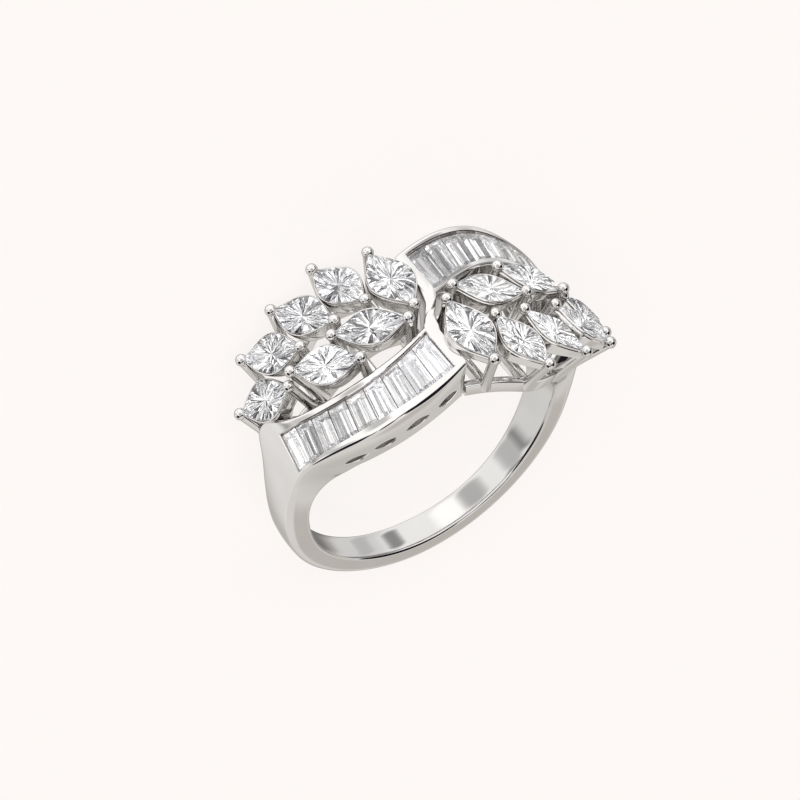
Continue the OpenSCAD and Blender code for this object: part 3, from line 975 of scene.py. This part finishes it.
# Seeds of the random tones that set how bright each lower facet's painted glow is
BAGUETTE_TONES, MARQUISE_TONES = 4, 7


def make_stones(name, stones, seed, materials):
    """Cut stones of both halves, every facet flat, with the lower facets in the second finish."""
    shape = Shape()
    for points, faces in stones:
        shape.add(points, faces)
    shape.add_twin()
    made = finished_object(name, shape, materials, FACET_SHARP, FACET_MERGE)
    for facet in made.data.polygons:
        place, way = UPRIGHT @ facet.center, UPRIGHT @ facet.normal
        if way.dot(outward(place)) < LOWER_LIMIT:
            facet.material_index = 1
    # A random tone for each facet, which the lower facets' finish shows as painted glow
    tone = made.data.attributes.new("tone", "FLOAT", "FACE")
    tone.data.foreach_set("value", np.random.default_rng(seed).random(len(made.data.polygons)))
    return made


def make_baguettes(*materials):
    """A row of step-cut stones in each channel."""
    stones = [baguette_points(k) for k in range(BAGUETTES)]
    return make_stones("baguettes", stones, BAGUETTE_TONES, materials)


def make_marquises(*materials):
    """The brilliants of both sprays, no two of them cut alike but for their twins."""
    stones, chance = [], np.random.default_rng(BRILLIANT_SEED)
    for outer, inner, width in SPRAY:
        middle, length, x, y, z = stone_axes(outer, inner)
        points, faces = marquise_points(length, width, chance)
        stones.append(([tuple(middle + x * px + y * py + z * pz) for px, py, pz in points], faces))
    return make_stones("marquises", stones, MARQUISE_TONES, materials)


# Piercings

# Depth from the wall and how much bigger the leaf is there
LEAF_TOOL = [(-0.3, 0.3), (0.04, 0.02), (0.07, 0.0), (1.7, 0.0)]
LEAF_STRETCH = 1.6
LEAF_POINTS = 40
# Height above the finger hole and how much wider the round hole is there
HOLE_TOOL = [(-0.3, 0.36), (0.06, 0.0), (FLOOR_H + 0.4, 0.0)]
HOLE_POINTS = 28
# A tool's face is its chamfer where it leans this much towards the way the tool goes in
CHAMFER_LOW, CHAMFER_HIGH = 0.25, 0.95


def cutter(name, shape, way_in, materials):
    """A tool that leaves the second finish on what it cuts, but the first on the chamfer."""
    tool = finished_object(name, shape, materials)
    for face in tool.data.polygons:
        slant = abs((UPRIGHT @ face.normal).dot(way_in(UPRIGHT @ face.center)))
        face.material_index = 0 if CHAMFER_LOW < slant < CHAMFER_HIGH else 1
    tool.hide_render = True
    return tool


def cut(piece, tools):
    """Take the tools out of a piece, and clear the slivers that this leaves."""
    for tool in tools:
        modifier = piece.modifiers.new("cut", "BOOLEAN")
        modifier.operation, modifier.solver, modifier.object = "DIFFERENCE", "MANIFOLD", tool
    bpy.context.view_layer.update()
    seen = piece.evaluated_get(bpy.context.evaluated_depsgraph_get())
    mesh = bpy.data.meshes.new_from_object(seen)
    piece.modifiers.clear()
    old = piece.data
    piece.data = mesh
    bpy.data.meshes.remove(old)
    for tool in tools:
        bpy.data.objects.remove(tool)
    bm = bmesh.new()
    bm.from_mesh(mesh)
    bmesh.ops.remove_doubles(bm, verts=bm.verts, dist=MERGE * MM)
    bmesh.ops.dissolve_degenerate(bm, edges=bm.edges, dist=MERGE * MM)
    mark_sharp(bm, SHARP)
    bm.to_mesh(mesh)
    bm.free()


def leaf_tools(*materials):
    """Leaf-shaped openings in the side walls."""
    shape = Shape()
    for angle, height, slope in LEAVES:
        turn = math.radians(slope)
        rows = []
        for depth, grow in LEAF_TOOL:
            row = []
            length, width = LEAF_L + LEAF_STRETCH * grow, LEAF_W + grow
            for px, pz in marquise_ring(length, width, LEAF_POINTS, drawn_in=0):
                u = px * math.cos(turn) + pz * math.sin(turn)
                v = -px * math.sin(turn) + pz * math.cos(turn)
                place = angle + math.degrees(u / (FINGER_R + height))
                row.append(on_ring(place, height + v, wall_place(place, height + v) + depth))
            rows.append(row)
        shape.closed_loft(rows)
    shape.add_twin()
    return cutter("leaf_tools", shape, lambda place: Vector((0, 1, 0)), materials)


def hole_tools(*materials):
    """A round hole under each baguette, wider at the finger hole."""
    shape = Shape()
    for k in range(BAGUETTES):
        s = (k + 0.5) / BAGUETTES
        angle = mix(front_angle(s), back_angle(s), 0.5)
        along = mix(channel_front(angle), channel_back(angle), 0.5)
        rows = []
        for height, wider in HOLE_TOOL:
            radius, row = AZURE_D / 2 + wider, []
            for i in range(HOLE_POINTS):
                t = 2 * math.pi * i / HOLE_POINTS
                place = angle + math.degrees(radius * math.cos(t) / (FINGER_R + height))
                row.append(on_ring(place, height, along + radius * math.sin(t)))
            rows.append(row)
        shape.closed_loft(rows)
    shape.add_twin()
    return cutter("hole_tools", shape, outward, materials)


# Materials

# Pairs of near colours that a cloud drifts between, and single ones
BUFFED_GOLD = ((0.88, 0.873, 0.865, 1), (0.92, 0.913, 0.905, 1))
RECESS_GREYS = ((0.42, 0.39, 0.37, 1), (0.75, 0.71, 0.68, 1))
CRYSTAL = ((0.985, 0.985, 1.0, 1), (1.0, 0.995, 0.985, 1))
# FACET_LIGHT, with STEP_DARK and BRILLIANT_DARK below, are the colours of the lower facets' painted glow
FACET_LIGHT = ((0.97, 0.97, 0.985, 1), (1.0, 0.995, 0.985, 1))
# The dark gold where little open air is found: dull unpolished metal, and also painted shade in recesses
# and between parts
SHADED_UNBUFFED_GOLD = (0.38, 0.365, 0.35, 1)
# The colour of the painted dark reflection along the outline where the metal turns away
TURNED_AWAY = (0.12, 0.11, 0.105, 1)
BLACK = (0, 0, 0, 1)
STEP_DARK = (0.455, 0.455, 0.46, 1)
BRILLIANT_DARK = (0.01, 0.01, 0.016, 1)

# Where in a cloud the first of two near colours ends and the second is full
CLOUD_LOW, CLOUD_HIGH = 0.35, 0.65
# The room that a buff needs, and within which painted shade falls, in millimetres, and the open shares
# of it at which the buff and the light start to reach and reach fully
SHADE_AND_BUFF_ROOM = 1.6
LIGHT_AND_BUFF_STARTS, LIGHT_AND_BUFF_FULL = 0.2, 0.55
# Roughness where no buff reaches, what the buff takes off, and what a cloud adds and where
UNBUFFED_ROUGH, BUFF_GAIN, CLOUD_ROUGH = 0.2, 0.16, 0.03
ROUGH_LOW, ROUGH_HIGH = 0.4, 0.75
# Shade on the finger hole's wall, and the height at which it starts to end
INSIDE_SHADE = 0.18
INSIDE_END = 0.05
# How fast the painted dark reflection grows as the metal turns away, and the size of the painted
# reflection of the camera's eye
TURN_WIDTH = 0.32
EYE_FULL, EYE_END = 0.02, 0.05
# The tones at which a lower facet's painted glow is darkest and brightest
TONE_LOW, TONE_HIGH = -0.05, 0.95


def clouded(nodes, cloud, pair):
    """The first of two near colours, with drifts of the second."""
    return nodes.blend(nodes.ramp(cloud, CLOUD_LOW, CLOUD_HIGH), *pair)


def finish(name, **values):
    """A material with its shader's even values set on the shader itself."""
    material = bpy.data.materials.new(name)
    material.use_nodes = True
    shader = material.node_tree.nodes["Principled BSDF"]
    for key, value in values.items():
        shader.inputs[key.replace("_", " ")].default_value = value
    return material, Nodes(material.node_tree), shader


def white_gold(name, turned_away, darkening, eye=0.0):
    """Polished rhodium-plated white gold. It is darker where little open air is found, partly as dull
    unpolished metal and partly as painted shade in recesses and between parts. It is also darker where
    it turns away, as a painted dark reflection.

    Small round parts get a painted dark reflection of the camera's eye where they face it.
    """
    material, nodes, shader = finish(name, Metallic=1.0)
    place = nodes.place()
    cloud = nodes.noise(place, scale=260.0, detail=3.0)
    wave = nodes.noise(place, scale=900.0, detail=1.0)
    room = {"Distance": SHADE_AND_BUFF_ROOM * MM}
    open_air = nodes.add("ShaderNodeAmbientOcclusion", {"samples": 6}, room, output="AO")
    reach = nodes.ramp(open_air, LIGHT_AND_BUFF_STARTS, LIGHT_AND_BUFF_FULL)
    across = nodes.vector("CROSS_PRODUCT", place, LYING @ Vector((0, 1, 0)), output="Vector")
    radius = nodes.vector("LENGTH", across)
    past_hole = nodes.ramp(radius, (FINGER_R + INSIDE_END) * MM, (FINGER_R + HOLE_EDGE) * MM)
    bright = nodes.blend(INSIDE_SHADE * (1 - past_hole), clouded(nodes, cloud, BUFFED_GOLD), BLACK)
    # Painted shade in recesses and between parts, together with dull unpolished metal: the colour turns
    # to the dark gold where little open air is found
    colour = nodes.blend(reach, SHADED_UNBUFFED_GOLD, bright)
    facing = nodes.add("ShaderNodeLayerWeight", None, {"Blend": 0.5}, output="Facing")
    # Painted dark reflections: an outline where the metal turns away, and a dark eye where small round
    # parts face the camera
    outline = darkening * nodes.ramp(facing, turned_away, turned_away + TURN_WIDTH)
    outline = outline + eye * (1 - nodes.ramp(facing, EYE_FULL, EYE_END))
    rough = UNBUFFED_ROUGH - BUFF_GAIN * reach
    rough = rough + CLOUD_ROUGH * nodes.ramp(cloud, ROUGH_LOW, ROUGH_HIGH)
    nodes.put(shader.inputs["Base Color"], nodes.blend(outline, colour, TURNED_AWAY))
    nodes.put(shader.inputs["Roughness"], rough)
    nodes.put(shader.inputs["Normal"], nodes.bump(wave, strength=0.25, distance=0.000004))
    return material


def diamond():
    """Colourless diamond, with the faintest cloud of warmer and cooler crystal."""
    material, nodes, shader = finish("diamond", Roughness=0.0, IOR=1.8, Transmission_Weight=1.0)
    cloud = nodes.noise(nodes.place(), scale=420.0)
    nodes.put(shader.inputs["Base Color"], clouded(nodes, cloud, CRYSTAL))
    return material


def inner_facets(name, glow, darkest):
    """The lower facets as seen through the stone: tinted mirrors that glow with painted light, each with
    a random tone standing for the light it throws back by total inner reflection.
    """
    material, nodes, shader = finish(name, Metallic=1.0, Roughness=0.0, Emission_Strength=glow)
    bright = clouded(nodes, nodes.noise(nodes.place(), scale=800.0), FACET_LIGHT)
    tone = nodes.add("ShaderNodeAttribute", {"attribute_name": "tone"}, output="Fac")
    colour = nodes.blend(nodes.ramp(tone, TONE_LOW, TONE_HIGH), darkest, bright)
    # Painted light: the lower facets glow, though they are no lamp
    nodes.put(shader.inputs["Emission Color"], colour)
    nodes.put(shader.inputs["Base Color"], colour)
    return material


def recess():
    """The inside of wells and piercings, in a darker and rougher grey."""
    material, nodes, shader = finish("recess", Metallic=1.0, Roughness=0.32)
    cloud = nodes.noise(nodes.place(), scale=1400.0, detail=3.0)
    nodes.put(shader.inputs["Base Color"], nodes.blend(cloud, *RECESS_GREYS))
    nodes.put(shader.inputs["Normal"], nodes.bump(cloud, strength=0.5, distance=0.00001))
    return material


gold_finish = white_gold("white gold", turned_away=0.6, darkening=0.7)
claw_finish = white_gold("white gold claws", turned_away=0.3, darkening=0.36, eye=0.6)
diamond_finish = diamond()
recess_finish = recess()
step_finish = inner_facets("step facets", glow=0.13, darkest=STEP_DARK)
brilliant_finish = inner_facets("brilliant facets", glow=0.46, darkest=BRILLIANT_DARK)


# The camera, floor and lights

# The photograph's viewpoint, in millimetres, and its right and down on the upright ring; its
# focal length and width in pixels; and the sensor's width in millimetres
VIEWPOINT = Vector((-78.02, -108.76, 157.17))
VIEW_RIGHT = Vector((0.84636889, -0.53066072, 0.0453751))
VIEW_DOWN = Vector((-0.3755505, -0.65504122, -0.65565449))
FOCAL_PIXELS = 3462.7
PHOTO_WIDTH = 800
SENSOR = 36.0


def make_camera():
    """The photograph's viewpoint, kept at its angle to the ring."""
    data = bpy.data.cameras.new("camera")
    data.sensor_width = SENSOR
    data.lens = SENSOR * FOCAL_PIXELS / PHOTO_WIDTH
    data.clip_start, data.clip_end = 0.005, 5.0
    camera = new_object("camera", data)
    backwards = VIEW_RIGHT.cross(-VIEW_DOWN)
    axes = Matrix([LYING @ axis for axis in (VIEW_RIGHT, -VIEW_DOWN, backwards)]).transposed()
    camera.matrix_world = Matrix.Translation(laid(VIEWPOINT)) @ axes.to_4x4()
    bpy.context.scene.camera = camera


# Half the floor's width in metres, the two near colours of its surface, and that of its glow
FLOOR_HALF = 2.0
FLOOR_PALE = ((0.2, 0.191, 0.184, 1), (0.203, 0.194, 0.187, 1))
FLOOR_GLOW = (1.0, 0.964, 0.943, 1)


def make_floor():
    """A plain pale floor. The metal and stones look past it into the studio."""
    mesh = bpy.data.meshes.new("floor")
    signs = [(-1, -1), (1, -1), (1, 1), (-1, 1)]
    corners = [(FLOOR_HALF * x, FLOOR_HALF * y, cad_box[0].z) for x, y in signs]
    mesh.from_pydata(corners, [], [(0, 1, 2, 3)])
    floor = new_object("floor", mesh)
    floor.visible_glossy = floor.visible_transmission = floor.visible_shadow = False
    material, nodes, shader = finish(
        "floor", Roughness=0.9, Specular_IOR_Level=0.0, Emission_Strength=0.83, Emission_Color=FLOOR_GLOW
    )
    cloud = nodes.noise(nodes.place(), scale=30.0)
    nodes.put(shader.inputs["Base Color"], nodes.blend(cloud, *FLOOR_PALE))
    mesh.materials.append(material)


# The lamp's direction on the upright ring, its strength, and its width in degrees
LAMP_TOWARDS = Vector((-0.6, -0.75, 0.6))
LAMP_STRENGTH = 0.7
LAMP_WIDTH = 100


def soft_lamp():
    """Light on the floor, which leaves no spot in the metal or the stones."""
    data = bpy.data.lights.new("key", "SUN")
    data.energy = LAMP_STRENGTH
    data.angle = math.radians(LAMP_WIDTH)
    lamp = new_object("key", data)
    lamp.rotation_euler = (LYING @ -LAMP_TOWARDS).to_track_quat("-Z", "Y").to_euler()
    lamp.visible_glossy = lamp.visible_transmission = False


# The tent and the table, whose left and right melt into each other, and where the two meet
TENT = (1.1, 1.085, 1.07, 1)
GROUND_LEFT = (0.70, 0.675, 0.65, 1)
GROUND_RIGHT = (0.68, 0.655, 0.63, 1)
GROUND_MELT = 0.8
HORIZON_LOW, HORIZON_HIGH = -0.3, 0.1
# The spotted light that the stones' inside throws back instead
GLITTER_DARK = (0.2, 0.195, 0.205, 1)
GLITTER_LIGHT = (1.3, 1.295, 1.29, 1)
GLITTER_LOW, GLITTER_HIGH = 0.37, 0.49
SPOTS = [
    # direction on the upright ring, degrees to which it is full and at which it ends, colour
    ((0.95, -0.1, 0.38), 12, 36, (0.26, 0.25, 0.25, 1)),
    ((-0.93, 0.23, 0.30), 4, 14, (0.32, 0.31, 0.31, 1)),
    ((-0.845, 0.507, 0.17), 2, 14, (0.62, 0.61, 0.60, 1)),
    ((-0.133, 0.497, 0.857), 4, 16, (1.4, 1.38, 1.36, 1)),
    ((-0.852, 0.512, -0.105), 0, 11, (0.33, 0.325, 0.32, 1)),
    ((0.835, 0.522, 0.15), 6, 30, (0.80, 0.79, 0.78, 1)),
    ((0.829, 0.518, 0.208), 0, 10, (0.62, 0.61, 0.60, 1)),
    ((0.604, 0.507, 0.616), 0, 9, (0.34, 0.335, 0.33, 1)),
    ((-0.474, 0.508, 0.719), 2, 14, (0.58, 0.57, 0.56, 1)),
    ((0.70, 0.52, -0.50), 2, 15, (0.5, 0.49, 0.48, 1)),
    ((0.47, 0.671, -0.574), 8, 22, (0.28, 0.275, 0.27, 1)),
    ((0.22, 0.819, -0.53), 8, 18, (0.22, 0.215, 0.21, 1)),
    ((-0.769, 0.518, -0.375), 6, 20, (0.84, 0.83, 0.815, 1)),
    ((0.533, -0.82, 0.208), 26, 29, (0.012, 0.01, 0.014, 1)),
    ((-0.905, -0.403, -0.139), 23, 28, (0.014, 0.012, 0.016, 1)),
    ((-0.304, -0.937, 0.174), 12, 15, (0.03, 0.028, 0.032, 1)),
    ((-0.655, -0.754, 0.052), 8, 11, (0.03, 0.028, 0.032, 1)),
    ((0.02, -0.915, 0.403), 10, 13, (0.03, 0.028, 0.032, 1)),
    ((0.378, -0.538, -0.754), 10, 25, (0.52, 0.488, 0.456, 1)),
    ((-0.5, 0.54, -0.68), 8, 24, (0.79, 0.775, 0.755, 1)),
]


def studio():
    """A white tent round the ring, on a pale table, dark where the tent is open at the front."""
    world = bpy.data.worlds.new("studio")
    world.use_nodes = True
    nodes = Nodes(world.node_tree)
    way = nodes.add("ShaderNodeTexCoord", output="Generated")

    def along(direction):
        """How far each way in the studio agrees with a direction given on the upright ring."""
        return nodes.vector("DOT_PRODUCT", way, LYING @ Vector(direction).normalized())

    def spot(direction, full, end):
        """A round soft spot, full up to so many degrees from its middle and ending at others."""
        edge, rim = math.cos(math.radians(end)), math.cos(math.radians(full))
        return nodes.ramp(along(direction), edge, rim)

    to_right = nodes.ramp(along((1, 0, 0)), -GROUND_MELT, GROUND_MELT)
    above = nodes.ramp(along((0, 0, 1)), HORIZON_LOW, HORIZON_HIGH)
    light = nodes.blend(above, nodes.blend(to_right, GROUND_LEFT, GROUND_RIGHT), TENT)
    for direction, full, end, colour in SPOTS:
        light = nodes.blend(spot(direction, full, end), light, colour)
    cells = nodes.ramp(nodes.noise(way, scale=2.6, detail=1.0), GLITTER_LOW, GLITTER_HIGH)
    glitter = nodes.blend(cells, GLITTER_DARK, GLITTER_LIGHT)
    through = nodes.add("ShaderNodeLightPath", output="Is Transmission Ray")
    light = nodes.blend(through, light, glitter)
    nodes.put(world.node_tree.nodes["Background"].inputs["Color"], light)
    bpy.context.scene.world = world


make_camera()
make_floor()
studio()
soft_lamp()
scene = bpy.context.scene
scene.view_settings.view_transform = "Standard"
scene.cycles.max_bounces = 24
scene.cycles.glossy_bounces = 16
scene.cycles.transmission_bounces = 20

# The pieces

band = make_band(gold_finish, recess_finish)
cut(band, [leaf_tools(gold_finish, recess_finish), hole_tools(gold_finish, recess_finish)])
neck, gallery, collets = (make(gold_finish) for make in (make_neck, make_gallery, make_collets))
claws = make_claws(claw_finish)
for piece in (band, claws, neck, gallery, collets):
    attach(piece, "root")
    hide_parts("ring_mount")

baguettes = make_baguettes(diamond_finish, step_finish)
marquises = make_marquises(diamond_finish, brilliant_finish)
for piece, kind in ((baguettes, "baguette"), (marquises, "marquise")):
    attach(piece, "root")
    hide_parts(*[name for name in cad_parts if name.startswith(kind)])

for name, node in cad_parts.items():
    node.data.materials.clear()
    node.data.materials.append(gold_finish if name == "ring_mount" else diamond_finish)
